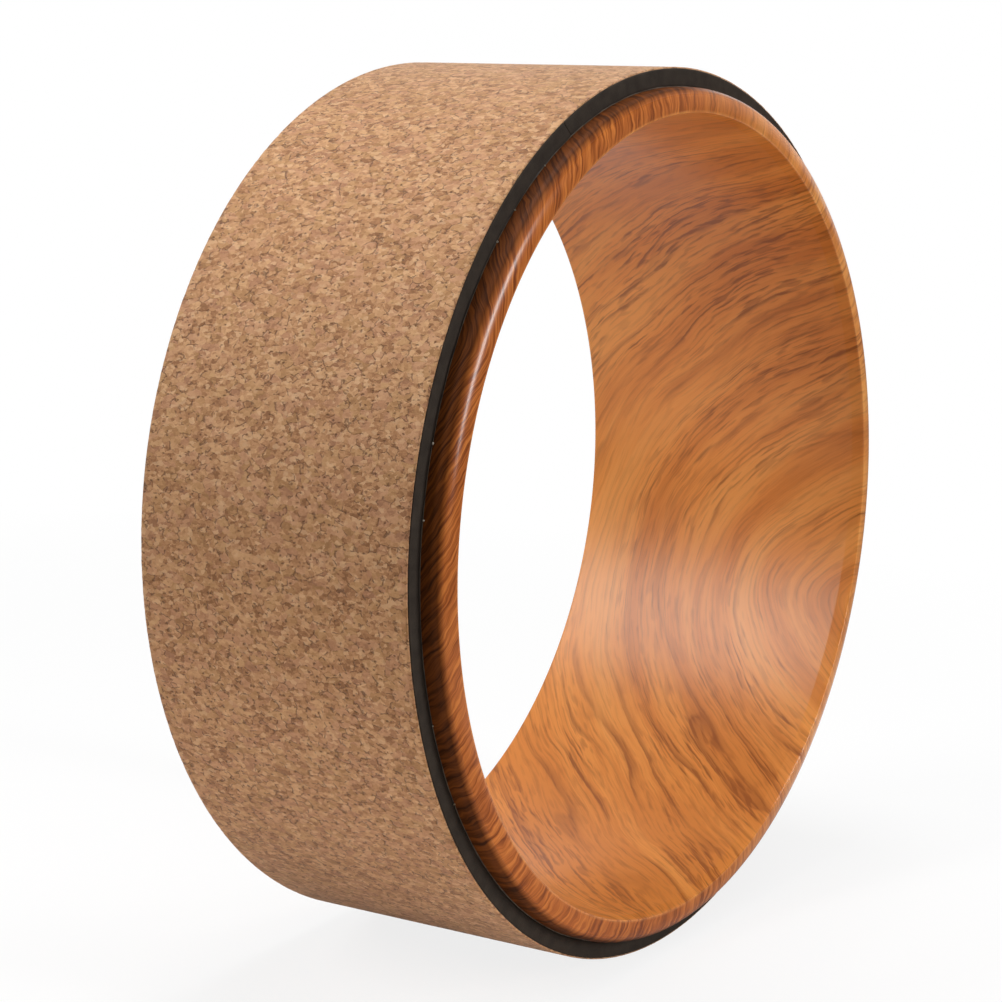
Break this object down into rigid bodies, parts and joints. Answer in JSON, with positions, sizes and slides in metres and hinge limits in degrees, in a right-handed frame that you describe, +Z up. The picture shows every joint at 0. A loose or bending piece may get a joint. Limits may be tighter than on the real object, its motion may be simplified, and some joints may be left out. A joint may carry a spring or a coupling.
{
  "type": "yoga wheel",
  "caption": "Wide hollow back-stretching wheel: a wood-grain skinned plastic hoop wrapped in black foam with a cork tread, open right through.",
  "frame": {"origin": "centre of the wheel, on its axis and midway between the two rims", "axes": "+Y along the wheel's axis, away from the rim that faces the viewer; +Z up, with the wheel standing on its tread"},
  "size_m": [0.3292, 0.13, 0.3292],
  "materials": {
    "hoop_plastic": "as moulded, natural ivory",
    "woodgrain_print": "printed wood grain under clear gloss lacquer",
    "contact_cement": "dried rubbery cement, pale amber",
    "black_foam": "closed-cell foam, matt black",
    "cork": "sanded agglomerated cork"
  },
  "bodies": {
    "root": {"core_hoop": "hoop_plastic", "woodgrain_film": "woodgrain_print", "core_adhesive": "contact_cement", "foam_pad": "black_foam", "cork_adhesive": "contact_cement", "cork_wrap": "cork", "seam_glue": "contact_cement"}
  },
  "joints": []
}
